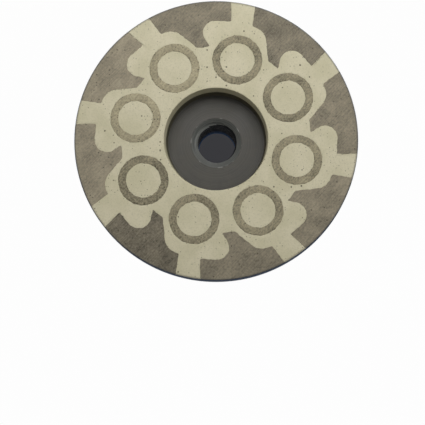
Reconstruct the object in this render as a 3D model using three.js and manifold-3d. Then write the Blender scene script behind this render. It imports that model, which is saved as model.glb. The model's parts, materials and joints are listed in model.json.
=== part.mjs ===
// A resin-filled diamond cup wheel for wet grinding of stone edges, 100 mm across.
//
// One turned steel body carries everything: a shallow cone with a rounded rim, and a threaded hub with
// two wrench flats. Eight sintered rim segments and eight sintered rings stand on its flat front, and
// cream resin is cast round them and inside the rings, flush with the grinding face.
//
// Lengths are in millimetres and angles in degrees. The wheel is drawn with its axis along +Z, the hub's
// end at z = 0 and the grinding face at the highest z. The last group stands it up: the axis lies along
// Y, the grinding face looks along -Y, and the origin is where the axis meets the end of the hub.

import * as THREE from 'three';
import { mergeVertices } from 'three/addons/utils/BufferGeometryUtils.js';
import Module from 'manifold-3d';

const wasm = await Module();
wasm.setup();

// ---------------------------------------------------------------- driving dimensions

const wheelDiameter = 100;
const segmentHeight = 4.5; // abrasive and resin above the steel, all one height
const rimThickness = 2.8; // steel at the wheel's edge, under the segments
const rimRounding = 1.5; // the back edge of the rim
const crownHeight = 3.7; // how far the conical back climbs from the rim to the hub

const threadDiameter = 15.875; // 5/8 inch, 11 threads to the inch
const threadPitch = 25.4 / 11;
const threadEntry = 0.25; // how far the hub's mouth opens past the thread, all round
const countersinkLip = 1.0625; // and how far the countersink in the recess does

const hubHeight = 16; // from the foot of the cone to the hub's end
const hubFillet = 2.2;
const hubEdgeChamfer = 0.4;
const flatWall = 1.5625; // steel between the thread and a wrench flat
const flatDepth = 3.2; // how far a wrench flat is cut into the hub
const flatLength = 9;

const recessDiameter = 36.6; // the resin's edge, at the grinding face
const recessDraft = 0.5; // how far the resin wall leans in, from its face to its foot
const floorDraft = 0.4; // and the steel wall below it, down to the floor
const floorThickness = 3.2; // steel between the recess floor and the foot of the hub

const ringCount = 8;
const ringDiameter = 17.7;
const ringBore = 12.2;
const firstRingAngle = 30;
const ringToRecess = 2.25; // resin between a ring and the recess

const shoulderCover = 4.45; // resin between a ring and the level of a segment's shoulders
const channelStart = -2; // a resin channel's two walls at its middle, from its ring's direction
const channelEnd = 8.2;
const channelLean = 0.65; // how far both walls turn on to the rim, and back to the shoulder
const toeRise = 4.05; // the end of a segment's toe, outside the rings' pitch circle
const toeCover = 2.1; // resin between a toe's corner and the ring beside it

// The two hollows in a segment's inner side: arcs round points beside the ring, at an angle from its
// direction and a distance past its edge.
const startHollow = { radius: 4.4, angle: 53, beyondRing: 3.8 };
const endHollow = { radius: 5.4, angle: -21.5, beyondRing: -0.7 };

const gap = 0.3; // between neighbouring pieces
const overcut = 2; // how far a cutter runs past what it cuts

const sidesOfWheel = 64;
const sidesOfRing = 32;
const sidesOfBore = 24; // and steps in one turn of the thread, so that their edges meet
const outlineArcs = 4; // pairs of lines in each arc of an outline
const profileArcs = 2; // and in each arc of the body's section

// ---------------------------------------------------------------- sizes that follow

const wheelRadius = wheelDiameter / 2;
const threadRadius = threadDiameter / 2;
const threadDepth = 0.54127 * threadPitch; // 5/8 of the sharp triangle's height
const boreRadius = threadRadius - threadDepth;
const pilotRadius = boreRadius / 2;
const flatRadius = threadRadius + flatWall; // 9.5, for a 19 mm wrench
const hubRadius = flatRadius + flatDepth;
const ringRadius = ringDiameter / 2;
const recessRadius = recessDiameter / 2;

const coneTangent = crownHeight / (wheelRadius - hubRadius);
const seatLevel = hubHeight + crownHeight + rimThickness; // the flat that the segments stand on
const faceLevel = seatLevel + segmentHeight;
const floorLevel = hubHeight + floorThickness;

const ringPitchRadius = recessRadius + ringToRecess + ringRadius;
const ringSpacing = 360 / ringCount;
const shoulderRadius = ringPitchRadius + ringRadius + shoulderCover;
const toeRadius = ringPitchRadius + toeRise;

// ---------------------------------------------------------------- materials

function finish(color, roughness, metalness) {
  return new THREE.MeshStandardMaterial({ color, roughness, metalness });
}

const bluePaint = finish(0x1d3a6b, 0.45, 0.2);
const creamResin = finish(0xc3bb9a, 0.6, 0);
const rimBond = finish(0x8d8371, 0.8, 0.1);
const ringBond = finish(0x86806a, 0.8, 0.1);

// ---------------------------------------------------------------- helpers

const radians = THREE.MathUtils.degToRad;

function polar(distance, angle) {
  return new THREE.Vector2(distance * Math.cos(radians(angle)), distance * Math.sin(radians(angle)));
}

function named(name, geometry, material) {
  const mesh = new THREE.Mesh(geometry, material);
  mesh.name = name;
  return mesh;
}

// A closed geometry as a solid that can be cut.
function solid(geometry) {
  const bare = geometry.clone();
  bare.deleteAttribute('normal');
  bare.deleteAttribute('uv');
  const welded = mergeVertices(bare);
  return new wasm.Manifold(new wasm.Mesh({
    numProp: 3,
    vertProperties: new Float32Array(welded.attributes.position.array),
    triVerts: new Uint32Array(welded.index.array),
  }));
}

// A solid as a geometry that a mesh can show.
function surface(manifold) {
  const cut = manifold.getMesh();
  const geometry = new THREE.BufferGeometry();
  geometry.setAttribute('position', new THREE.BufferAttribute(cut.vertProperties, 3));
  geometry.setIndex(new THREE.BufferAttribute(cut.triVerts, 1));
  geometry.computeVertexNormals();
  return geometry;
}

// A profile of (radius, z) points, counter-clockwise, turned about the Z axis.
function turned(points, sides) {
  return new THREE.LatheGeometry(points, sides).rotateX(Math.PI / 2);
}

// A flat outline raised from one level to another.
function raised(shape, from, to) {
  const options = { depth: to - from, bevelEnabled: false, curveSegments: sidesOfRing / 2 };
  return new THREE.ExtrudeGeometry(shape, options).translate(0, 0, from);
}

function disc(radius) {
  return new THREE.Shape().absarc(0, 0, radius, 0, 2 * Math.PI);
}

// The outline moved outwards by a distance, each corner along the line that halves it.
function grown(points, distance) {
  return points.map((point, i) => {
    const before = points[(i + points.length - 1) % points.length];
    const after = points[(i + 1) % points.length];
    const arriving = point.clone().sub(before).normalize();
    const leaving = after.clone().sub(point).normalize();
    const outward = new THREE.Vector2(arriving.y + leaving.y, -arriving.x - leaving.x).normalize();
    const stretch = outward.x * arriving.y - outward.y * arriving.x;
    return point.clone().addScaledVector(outward, distance / stretch);
  });
}

// ---------------------------------------------------------------- the steel body

// Half of a section through the body before it is bored, from a pilot hole in the hub's end out to the
// rim and back along the front.
function blankProfile() {
  const slope = Math.atan(coneTangent);
  const backAt = (radius) => hubHeight + (radius - hubRadius) * coneTangent;
  const filletCentre = hubRadius + hubFillet;
  const filletLevel = backAt(filletCentre) - hubFillet / Math.cos(slope);
  const roundingCentre = wheelRadius - rimRounding;
  const roundingLevel = backAt(roundingCentre) + rimRounding / Math.cos(slope);

  const profile = new THREE.Path();
  profile.moveTo(pilotRadius, 0);
  profile.lineTo(hubRadius - hubEdgeChamfer, 0);
  profile.lineTo(hubRadius, hubEdgeChamfer);
  profile.absarc(filletCentre, filletLevel, hubFillet, Math.PI, Math.PI / 2 + slope, true);
  profile.absarc(roundingCentre, roundingLevel, rimRounding, slope - Math.PI / 2, 0, false);
  profile.lineTo(wheelRadius, seatLevel);
  profile.lineTo(recessRadius - recessDraft, seatLevel);
  profile.lineTo(recessRadius - recessDraft - floorDraft, floorLevel);
  profile.lineTo(pilotRadius, floorLevel);
  profile.lineTo(pilotRadius, 0);
  return profile.getPoints(profileArcs);
}

// The bore with its two 45-degree mouths, as a tool that stands out at both ends.
function boreTool() {
  const inner = pilotRadius / 2;
  const entry = threadRadius + threadEntry;
  const countersink = threadRadius + countersinkLip;
  const profile = [
    new THREE.Vector2(inner, -overcut),
    new THREE.Vector2(entry + overcut, -overcut),
    new THREE.Vector2(boreRadius, entry - boreRadius),
    new THREE.Vector2(boreRadius, floorLevel - (countersink - boreRadius)),
    new THREE.Vector2(countersink + overcut, floorLevel + overcut),
    new THREE.Vector2(inner, floorLevel + overcut),
    new THREE.Vector2(inner, -overcut),
  ];
  return turned(profile, sidesOfBore);
}

// The groove of a 60-degree thread, as a tool that winds up through the bore and out at both ends.
function threadTool() {
  const reach = 0.4;
  const rootHalf = threadPitch / 16;
  const mouthHalf = rootHalf + (threadDepth + reach) * Math.tan(radians(30));
  const inner = boreRadius - reach;
  const section = [
    [inner, mouthHalf],
    [inner, -mouthHalf],
    [threadRadius, -rootHalf],
    [threadRadius, rootHalf],
  ];
  const turns = (floorLevel + 2 * threadPitch) / threadPitch;
  const steps = Math.ceil(turns * sidesOfBore);
  const corners = section.length;

  const positions = [];
  const triangles = [[0, 1, 2], [0, 2, 3]];
  for (let step = 0; step <= steps; step++) {
    const turn = step / sidesOfBore;
    const angle = 2 * Math.PI * turn;
    for (const [radius, height] of section) {
      const level = height + (turn - 1) * threadPitch;
      positions.push(radius * Math.cos(angle), radius * Math.sin(angle), level);
    }
  }
  for (let step = 0; step < steps; step++) {
    for (let corner = 0; corner < corners; corner++) {
      const here = step * corners + corner;
      const beside = step * corners + (corner + 1) % corners;
      triangles.push([here, here + corners, beside + corners], [here, beside + corners, beside]);
    }
  }
  const last = steps * corners;
  triangles.push([last, last + 2, last + 1], [last, last + 3, last + 2]);

  const geometry = new THREE.BufferGeometry();
  geometry.setAttribute('position', new THREE.Float32BufferAttribute(positions, 3));
  geometry.setIndex(triangles.flat());
  return geometry;
}

// What the wrench flat on one side of the hub takes away.
function flatTool(side) {
  const depth = flatDepth + overcut;
  const box = new THREE.BoxGeometry(depth, 2 * hubRadius + overcut, flatLength + overcut);
  return box.translate(side * (flatRadius + depth / 2), 0, (flatLength - overcut) / 2);
}

function steelBody() {
  let body = solid(turned(blankProfile(), sidesOfWheel));
  for (const tool of [flatTool(1), flatTool(-1), boreTool(), threadTool()]) {
    body = body.subtract(solid(tool));
  }
  return surface(body);
}

// ---------------------------------------------------------------- the abrasive

// The centre of a hollow beside the ring whose direction is `angle`.
function hollowCentre(hollow, angle) {
  const fromRing = polar(ringRadius + hollow.beyondRing, angle + hollow.angle);
  return fromRing.add(polar(ringPitchRadius, angle));
}

// Carries the outline in a straight line to a hollow, clockwise round it, and off in a straight line
// to the next point. Both lines touch the arc.
function lineHollow(shape, from, centre, radius, to) {
  const touch = (point, side) => {
    const away = point.clone().sub(centre);
    return away.angle() + side * Math.acos(radius / away.length());
  };
  shape.absarc(centre.x, centre.y, radius, touch(from, -1), touch(to, 1), true);
  shape.lineTo(to.x, to.y);
}

// A rim segment seen from the grinding face, between the ring at `angle` and the next one round.
function segmentOutline(angle) {
  const next = angle + ringSpacing;
  const rimStart = angle + channelEnd + channelLean;
  const rimEnd = next + channelStart + channelLean;
  const startShoulder = polar(shoulderRadius, angle + channelEnd - channelLean);
  const endShoulder = polar(shoulderRadius, next + channelStart - channelLean);

  const toCorner = ringRadius + toeCover;
  const cosine = (toeRadius ** 2 + ringPitchRadius ** 2 - toCorner ** 2) / (2 * toeRadius * ringPitchRadius);
  const toeAngle = THREE.MathUtils.radToDeg(Math.acos(cosine));
  const toeStart = polar(toeRadius, angle + toeAngle);
  const toeEnd = polar(toeRadius, next - toeAngle);

  const shape = new THREE.Shape();
  shape.absarc(0, 0, wheelRadius, radians(rimStart), radians(rimEnd), false);
  shape.lineTo(endShoulder.x, endShoulder.y);
  lineHollow(shape, endShoulder, hollowCentre(endHollow, next), endHollow.radius, toeEnd);
  shape.lineTo(toeStart.x, toeStart.y);
  lineHollow(shape, toeStart, hollowCentre(startHollow, angle), startHollow.radius, startShoulder);
  return shape.getPoints(outlineArcs);
}

function rimSegment(angle) {
  return raised(new THREE.Shape(segmentOutline(angle)), seatLevel + gap, faceLevel);
}

function ringSegment() {
  const shape = disc(ringRadius);
  shape.holes.push(disc(ringBore / 2));
  return raised(shape, seatLevel + gap, faceLevel);
}

function ringCore() {
  return raised(disc(ringBore / 2 - gap), seatLevel + gap, faceLevel);
}

// ---------------------------------------------------------------- the resin casting

function castBlank() {
  const foot = seatLevel + gap;
  const profile = [
    new THREE.Vector2(recessRadius - recessDraft, foot),
    new THREE.Vector2(wheelRadius, foot),
    new THREE.Vector2(wheelRadius, faceLevel),
    new THREE.Vector2(recessRadius, faceLevel),
    new THREE.Vector2(recessRadius - recessDraft, foot),
  ];
  return turned(profile, sidesOfWheel);
}

function resinFill() {
  let casting = solid(castBlank());
  for (let k = 0; k < ringCount; k++) {
    const angle = firstRingAngle + k * ringSpacing;
    const centre = polar(ringPitchRadius, angle);
    const pocket = new THREE.Shape(grown(segmentOutline(angle), gap));
    const seat = raised(disc(ringRadius + gap), seatLevel - overcut, faceLevel + overcut);
    casting = casting.subtract(solid(raised(pocket, seatLevel - overcut, faceLevel + overcut)));
    casting = casting.subtract(solid(seat.translate(centre.x, centre.y, 0)));
  }
  return surface(casting);
}

// ---------------------------------------------------------------- the wheel

const wheel = new THREE.Group();
wheel.add(named('steel_body', steelBody(), bluePaint));
wheel.add(named('resin_fill', resinFill(), creamResin));

for (let k = 0; k < ringCount; k++) {
  const angle = firstRingAngle + k * ringSpacing;
  wheel.add(named(`rim_segment_${k + 1}`, rimSegment(angle), rimBond));

  const place = new THREE.Group();
  const centre = polar(ringPitchRadius, angle);
  place.position.set(centre.x, centre.y, 0);
  place.add(named(`ring_segment_${k + 1}`, ringSegment(), ringBond));
  place.add(named(`ring_core_${k + 1}`, ringCore(), creamResin));
  wheel.add(place);
}

wheel.rotation.x = Math.PI / 2;

const standing = new THREE.Group();
standing.add(wheel);

export default standing;
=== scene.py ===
# %% [markdown]
# # A resin-filled diamond cup wheel
#
# The wheel grinds the edges of stone slabs, wet, at the end of an angle grinder's spindle. Its
# steel body is turned from bar: a shallow cone with a threaded hub. Eight sintered rim segments
# and eight sintered rings do the cutting, and cream resin holds them on the body's flat front.
#
# The CAD model is loaded first and stays where it is. Every piece below is a finer skin for one of
# its solids, in metres, with the wheel's axis along Y, the grinding face to -Y and the origin at
# the end of the hub.

# %% Load the frame
import json

import bmesh
import bpy
import numpy as np
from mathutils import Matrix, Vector

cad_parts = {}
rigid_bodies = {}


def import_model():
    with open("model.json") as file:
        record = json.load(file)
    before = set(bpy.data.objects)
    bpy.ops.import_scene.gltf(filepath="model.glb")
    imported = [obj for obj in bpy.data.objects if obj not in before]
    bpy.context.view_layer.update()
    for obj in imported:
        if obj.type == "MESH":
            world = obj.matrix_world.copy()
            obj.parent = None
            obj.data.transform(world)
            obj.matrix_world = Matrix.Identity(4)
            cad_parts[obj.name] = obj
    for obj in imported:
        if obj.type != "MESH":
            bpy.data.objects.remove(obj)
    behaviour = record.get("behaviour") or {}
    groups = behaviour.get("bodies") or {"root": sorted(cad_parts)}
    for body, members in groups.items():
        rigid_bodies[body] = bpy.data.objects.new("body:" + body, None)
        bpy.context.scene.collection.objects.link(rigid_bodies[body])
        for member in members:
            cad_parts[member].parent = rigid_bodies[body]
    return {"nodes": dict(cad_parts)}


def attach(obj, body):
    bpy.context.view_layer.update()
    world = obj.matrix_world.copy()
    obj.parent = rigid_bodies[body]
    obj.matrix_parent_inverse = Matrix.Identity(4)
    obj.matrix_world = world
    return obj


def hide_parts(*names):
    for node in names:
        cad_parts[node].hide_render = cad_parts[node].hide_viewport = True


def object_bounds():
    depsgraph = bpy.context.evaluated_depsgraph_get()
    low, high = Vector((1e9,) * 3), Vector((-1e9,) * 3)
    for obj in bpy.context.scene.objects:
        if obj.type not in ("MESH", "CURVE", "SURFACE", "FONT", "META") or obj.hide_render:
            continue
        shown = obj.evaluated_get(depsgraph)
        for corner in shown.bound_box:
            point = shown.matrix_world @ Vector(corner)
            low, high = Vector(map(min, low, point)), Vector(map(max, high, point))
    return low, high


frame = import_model()
cad_low, cad_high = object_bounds()
print("CAD nodes:", len(frame["nodes"]), "box:", cad_low[:], cad_high[:])

# %% [markdown]
# ## The camera
#
# The camera stands half a metre in front of the grinding face and a little below the axis, so it
# looks up at the face and sees the top of the recess wall and of the bore. A long lens keeps the
# circles nearly round. It is aimed below the wheel, which leaves the wheel in the upper part of
# the picture.

# %% Place the camera
FACE = cad_low.y
LENS = 120.2  # mm, on the usual 36 mm wide sensor
camera_place = Vector((0.0097, FACE - 0.4911, -0.0933))
camera_aim = Vector((-0.00119, FACE, -0.02617))

camera = bpy.data.objects.new("camera", bpy.data.cameras.new("camera"))
bpy.context.scene.collection.objects.link(camera)
bpy.context.scene.camera = camera
camera.location = camera_place
camera.rotation_mode = "QUATERNION"
camera.rotation_quaternion = (camera_aim - camera_place).to_track_quat("-Z", "Y")
camera.data.lens = LENS
camera.data.clip_end = 20
print("camera distance:", round((camera_place - camera_aim).length, 3), "m")

# %% [markdown]
# ## The studio
#
# A pale floor lies well below the wheel, because the camera looks up from under the axis. A faint
# glow of its own keeps it pale, and doesn't light the wheel. The world is white where the camera
# sees it and weaker as a light, so the soft lamps still shape the metal. It is stronger from
# below, as it would be over a pale table. A small dark card behind the hub is painted shade: it
# fills the view through the bore with darkness. It can be seen from the front only, and it throws
# no shadow and no reflection.

# %% Light the studio
scene = bpy.context.scene
scene.view_settings.view_transform = "Standard"


def add(tree, kind, values=None, **options):
    """Adds a shader node. A value that is another node's output is linked, and any other is
    set."""
    node = tree.nodes.new("ShaderNode" + kind)
    for option, value in options.items():
        setattr(node, option, value)
    for socket, value in (values or {}).items():
        if isinstance(value, bpy.types.NodeSocket):
            tree.links.new(value, node.inputs[socket])
        else:
            node.inputs[socket].default_value = value
    return node


BACKGROUND = 0.985  # nearly pure white
AMBIENT_ABOVE = 0.15
AMBIENT_BELOW = 0.24

world = bpy.data.worlds.new("studio")
world.use_nodes = True
scene.world = world
sky = world.node_tree
sky.nodes.clear()
seen = add(sky, "Background", {"Color": (1, 1, 1, 1), "Strength": BACKGROUND})
up = add(sky, "SeparateXYZ", {0: add(sky, "TexCoord").outputs["Generated"]}).outputs["Z"]
soft = add(sky, "MapRange", {0: up, 1: -0.5, 2: 0.6, 3: AMBIENT_BELOW, 4: AMBIENT_ABOVE})
felt = add(sky, "Background", {"Color": (0.97, 0.98, 1, 1), "Strength": soft.outputs[0]})
rays = add(sky, "LightPath")
choice = {0: rays.outputs["Is Camera Ray"], 1: felt.outputs[0], 2: seen.outputs[0]}
add(sky, "OutputWorld", {"Surface": add(sky, "MixShader", choice).outputs[0]})


def lamp(name, place, aim, width, height, watts):
    """A soft rectangular lamp at a place, turned to the point it lights."""
    data = bpy.data.lights.new(name, "AREA")
    data.shape = "RECTANGLE"
    data.size, data.size_y, data.energy = width, height, watts
    made = bpy.data.objects.new(name, data)
    scene.collection.objects.link(made)
    made.location = place
    made.rotation_mode = "QUATERNION"
    made.rotation_quaternion = (Vector(aim) - Vector(place)).to_track_quat("-Z", "Y")
    made.visible_camera = False


lamp("key_lamp", (0.02, -0.3, 0.19), (0, 0, 0.02), width=0.3, height=0.22, watts=0.8)
lamp("fill_lamp", (0.6, -0.6, 0.2), (0, 0, 0), width=0.5, height=0.5, watts=1.05)
lamp("back_lamp", (0.35, 0.8, 0.7), (0, 0, 0), width=0.8, height=0.5, watts=9.0)
lamp("side_lamp", (-0.8, 0.45, 0.35), (0, 0, 0), width=0.5, height=0.8, watts=4.0)

# %% Lay the floor and hang the card
FLOOR_LEVEL = -0.15
FLOOR_RADIUS = 3.0
CARD_PLACE = (-0.0035, 0.13, 0.0257)  # in the line from the camera through the bore
CARD_RADIUS = 0.0105
GLOW = 0.7
SIDES = 96


def round_sheet(name, centre, radius, across, up):
    """A flat disc: its centre and a ring of points, radius * (cos t, sin t) along two
    directions."""
    t = np.linspace(0, 2 * np.pi, SIDES, endpoint=False)[:, None]
    ring = np.array(centre) + radius * (np.cos(t) * np.array(across) + np.sin(t) * np.array(up))
    mesh = bpy.data.meshes.new(name)
    mesh.from_pydata(ring.tolist(), [], [list(range(SIDES))])
    made = bpy.data.objects.new(name, mesh)
    scene.collection.objects.link(made)
    return made


def plain_material(name, colour, roughness):
    """A material with one shader and its output, and the tree to build on."""
    material = bpy.data.materials.new(name)
    material.use_nodes = True
    tree = material.node_tree
    tree.nodes.clear()
    shader = add(tree, "BsdfPrincipled", {"Base Color": (*colour, 1), "Roughness": roughness})
    output = add(tree, "OutputMaterial", {"Surface": shader.outputs[0]})
    return material, tree, shader, output


floor = round_sheet("floor", (0, 0, FLOOR_LEVEL), FLOOR_RADIUS, (1, 0, 0), (0, 1, 0))
floor_material, _, shader, _ = plain_material("pale_floor", (0.4, 0.4, 0.4), 0.8)
shader.inputs["Emission Color"].default_value = (1, 1, 0.99, 1)
shader.inputs["Emission Strength"].default_value = GLOW
floor.data.materials.append(floor_material)
floor.visible_diffuse = floor.visible_glossy = False

# Painted shade: a dark card with a faint glow of its own, seen only through the bore.
card = round_sheet("bore_shade_card", CARD_PLACE, CARD_RADIUS, (1, 0, 0), (0, 0, 1))
card_material, tree, shader, output = plain_material("bore_shade_card", (0.02, 0.02, 0.023), 0.9)
shader.inputs["Emission Color"].default_value = (0.03, 0.03, 0.033, 1)
shader.inputs["Emission Strength"].default_value = GLOW
clear = add(tree, "BsdfTransparent")
rear = add(tree, "NewGeometry").outputs["Backfacing"]
one_sided = add(tree, "MixShader", {0: rear, 1: shader.outputs[0], 2: clear.outputs[0]})
tree.links.new(one_sided.outputs[0], output.inputs["Surface"])
card.data.materials.append(card_material)
card.visible_shadow = card.visible_diffuse = card.visible_glossy = False
print("floor at", FLOOR_LEVEL, "m, card facing", card.data.polygons[0].normal[:])

# %% [markdown]
# ## The wheel's sizes
#
# Shapes are worked out in millimetres with the axis along Z and the face up, which is how the
# wheel is turned and cast, and are stood up when they become a mesh. A point of a flat outline is
# one complex number, x + iy, and so is a point of a section, radius + i * level. Multiplying by
# exp(i * angle) turns an outline, which keeps the formulas short.

# %% Name the sizes
MM = 0.001
WHEEL = round(cad_high.x / MM, 3)  # radius of the rim
FACE_LEVEL = round(-cad_low.y / MM, 3)
SEAT_LEVEL = 22.5  # the flat that segments and resin stand on
FLOOR_OF_RECESS = 19.2
HUB = 12.7
HUB_HEIGHT = 16.0
HUB_FILLET = 2.2
HUB_EDGE = 0.4
FLAT = 9.5  # half the wrench size
FLAT_END = 9.0
CROWN = 3.7
RIM_ROUNDING = 1.5
THREAD = 7.9375
PITCH = 25.4 / 11
THREAD_DEPTH = 0.54127 * PITCH
MOUTH = THREAD + 0.25
COUNTERSINK = THREAD + 1.0625
RECESS = 18.3
RECESS_DRAFT = 0.5
FLOOR_DRAFT = 0.4

RING = 8.85
RING_BORE = 6.1
RING_PITCH = RECESS + 2.25 + RING
FIRST_RING = 30.0
SECTORS = 8
SECTOR = 360 / SECTORS
print("wheel radius", WHEEL, "mm, face at", FACE_LEVEL, "mm, rings at", RING_PITCH, "mm")

# %% Helpers for curves


def polar(radius, degrees):
    """The point at that distance and direction: radius * exp(i * angle)."""
    return radius * np.exp(1j * np.radians(degrees))


def line(start, end, step):
    """Evenly spaced points from start to end, at most a step apart."""
    return np.linspace(start, end, max(1, int(np.ceil(abs(end - start) / step))) + 1)


def arc(centre, radius, start, end, step):
    """Points round a centre, centre + radius * exp(i * t), with t from start to end in radians."""
    count = max(2, int(np.ceil(abs(end - start) * radius / step)))
    return centre + radius * np.exp(1j * np.linspace(start, end, count + 1))


def chain(*curves):
    """Curves joined end to end. The first point of each is the last of the one before it."""
    return np.concatenate([curves[0], *[curve[1:] for curve in curves[1:]]])


print("a quarter of the rim at 1 mm:", len(arc(0, WHEEL, 0, np.pi / 2, 1.0)), "points")

# %% Helpers for meshes
WELD = 2e-7  # metres
CREASE = 35  # edges with a sharper bend than this many degrees stay sharp


def grid_faces(rows, shift=0):
    """Quads between neighbouring rows of point numbers. The last column joins the first, which a
    screw shape moves down by a number of rows."""
    ahead = np.roll(rows, -1, axis=1)
    if shift:
        ahead[:, -1] = rows[np.clip(np.arange(len(rows)) - shift, 0, None), 0]
    return np.stack([rows[:-1], ahead[:-1], ahead[1:], rows[1:]], axis=-1).reshape(-1, 4)


def skin(name, points, faces, zones=None, border=None):
    """Makes a closed mesh object from points in millimetres, with the axis along Z, and lists of
    faces. (x, y, z) becomes (x, -z, y) in metres. Points that fall together are welded, which also
    closes rows that end in a ring. The zones say which material each face has. The border of a
    point, from 0 to 1, says how near it is to a pressed or cast edge, and becomes an attribute."""
    x, y, z = np.asarray(points, float).reshape(-1, 3).T
    mesh = bpy.data.meshes.new(name)
    mesh.from_pydata((np.stack([x, -z, y], axis=-1) * MM).tolist(), [], faces)
    if zones is not None:
        mesh.polygons.foreach_set("material_index", np.asarray(zones, np.int32))
    if border is not None:
        nearness = mesh.attributes.new("border", "FLOAT", "POINT")
        nearness.data.foreach_set("value", np.asarray(border, np.float32).reshape(-1))
    work = bmesh.new()
    work.from_mesh(mesh)
    bmesh.ops.remove_doubles(work, verts=work.verts, dist=WELD)
    bmesh.ops.dissolve_degenerate(work, edges=work.edges, dist=WELD)
    bmesh.ops.triangulate(work, faces=[face for face in work.faces if len(face.verts) > 4])
    bmesh.ops.recalc_face_normals(work, faces=work.faces)
    open_edges = sum(len(edge.link_faces) != 2 for edge in work.edges)
    volume = work.calc_volume(signed=True)
    work.to_mesh(mesh)
    work.free()
    mesh.polygons.foreach_set("use_smooth", np.ones(len(mesh.polygons), bool))
    mesh.set_sharp_from_angle(angle=np.radians(CREASE))
    made = bpy.data.objects.new(name, mesh)
    scene.collection.objects.link(made)
    triangles = sum(len(face.vertices) - 2 for face in mesh.polygons)
    print(f"{name}: {triangles} triangles, {open_edges} open edges, {volume * 1e6:.3f} cm3")
    return made


# %% [markdown]
# ## The steel body
#
# The body is turned, so its outside is a profile carried round the axis: hub end, hub wall, a
# fillet, the cone and the rounded rim, then the seat, the recess wall and the floor. Two wrench
# flats are milled on the hub, and they only limit the radius: a flat at distance f is where r = f
# / |cos t|. A profile spun by a modifier can't do that. A grid of radius over angle can, and it
# stays one closed surface.

# %% Draw the body's profile
cone = CROWN / (WHEEL - HUB)
slope = np.arctan(cone)
off_cone = 1j * np.exp(1j * slope)  # square to the cone's line


def back_at(radius):
    """The level of the conical back: it climbs from the hub to the rim in a straight line."""
    return HUB_HEIGHT + (radius - HUB) * cone


fillet = complex(HUB + HUB_FILLET, back_at(HUB + HUB_FILLET) - HUB_FILLET / np.cos(slope))
inner_rim = WHEEL - RIM_ROUNDING
rounding = complex(inner_rim, back_at(inner_rim) + RIM_ROUNDING / np.cos(slope))
LEDGE = 0.02  # the step at the end of a flat leans by this much
LEDGE_EDGE = 0.12
wall_foot = complex(RECESS - RECESS_DRAFT - FLOOR_DRAFT, FLOOR_OF_RECESS)
CORNER = 0.35  # where the recess wall meets the floor
corner = wall_foot + complex(-CORNER, CORNER)

# The last number of each line or arc is its step in millimetres.
painted = chain(
    line(complex(MOUTH, 0), complex(HUB - HUB_EDGE, 0), 0.7),
    arc(complex(HUB - HUB_EDGE, HUB_EDGE), HUB_EDGE, -np.pi / 2, 0, 0.1),
    line(complex(HUB, HUB_EDGE), complex(HUB, FLAT_END), 0.6),
    complex(HUB, FLAT_END) + 1j * np.array([0, LEDGE, LEDGE_EDGE]),
    line(complex(HUB, FLAT_END + LEDGE_EDGE), fillet - HUB_FILLET, 0.6),
    arc(fillet, HUB_FILLET, np.pi, np.pi / 2 + slope, 0.22),
    line(fillet + HUB_FILLET * off_cone, rounding - RIM_ROUNDING * off_cone, 1.6),
    arc(rounding, RIM_ROUNDING, slope - np.pi / 2, 0, 0.15),
    line(rounding + RIM_ROUNDING, complex(WHEEL, SEAT_LEVEL), 0.5),
)
bare = chain(
    line(complex(WHEEL, SEAT_LEVEL), complex(RECESS - RECESS_DRAFT, SEAT_LEVEL), 8),
    line(complex(RECESS - RECESS_DRAFT, SEAT_LEVEL), complex(wall_foot.real, corner.imag), 0.8),
    arc(corner, CORNER, 0, -np.pi / 2, 0.12),
    line(complex(corner.real, FLOOR_OF_RECESS), complex(COUNTERSINK, FLOOR_OF_RECESS), 1.0),
)
print("profile points, painted and bare:", len(painted), len(bare))

# %% Choose the angles
# Columns are packed close where a flat runs out into the round wall, so that corner stays crisp.
BESIDE = 0.8  # degrees on each side of the run-out
run_out = np.degrees(np.arccos(FLAT / HUB))
quarter = np.concatenate([
    np.linspace(0, run_out - BESIDE, 26, endpoint=False),
    np.linspace(run_out - BESIDE, run_out + BESIDE, 8, endpoint=False),
    np.linspace(run_out + BESIDE, 90, 30, endpoint=False),
])
half = np.concatenate([quarter, 180 - quarter[1:][::-1], [90]])
half = np.sort(np.unique(np.round(half, 6)))
angles = np.radians(np.concatenate([half, half + 180]))
print("columns round the body:", len(angles), "flat runs out at", run_out.round(2), "degrees")

# %% Carry the profile round
SOFT = 0.04  # how far a milled corner is rubbed down
FLAT_LIP = 0.15
LEAST_COSINE = 0.05  # keeps r = f / |cos t| finite where the flat is far outside the hub


def softly_least(a, b, softness):
    """The smaller of two values, with the corner between them rounded: -s * log(exp(-a / s) +
    exp(-b / s))."""
    least = np.minimum(a, b)
    return least - softness * np.log1p(np.exp(-np.abs(a - b) / softness))


def body_rows(profile):
    """Points of the turned surface, one row for each profile point. On the hub, above the ledge,
    the radius is the smaller of the profile's and the flat's."""
    radius = np.repeat(profile.real[:, None], len(angles), axis=1)
    level = np.repeat(profile.imag[:, None], len(angles), axis=1)
    lip = FLAT_LIP * np.clip(1 - level / FLAT_LIP, 0, 1)
    cosine = np.maximum(np.abs(np.cos(angles)), LEAST_COSINE)
    flat = (FLAT - lip) / cosine
    milled = (radius > FLAT - 1) & (level <= FLAT_END) & (flat < radius + 4 * SOFT)
    limited = np.where(milled, softly_least(radius, flat, SOFT), radius)
    ledge = np.isclose(level, FLAT_END + LEDGE) & (FLAT / cosine < HUB - LEDGE_EDGE)
    limited = np.where(ledge, limited - LEDGE_EDGE, limited)
    return np.stack([limited * np.cos(angles), limited * np.sin(angles), level], axis=-1)


outside = body_rows(chain(painted, bare))
print("outside grid:", outside.shape[:2])

# %% [markdown]
# ## The thread
#
# The bore carries a 5/8 inch thread with 11 turns to the inch. A thread is a screw surface: its
# section depends only on the phase, level / pitch - turn, so the rows of the grid follow the helix
# and each row has one radius. Rows that would pass the ends of the bore stop there, and where the
# first column meets the last one, each row joins the row one turn further along.

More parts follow.
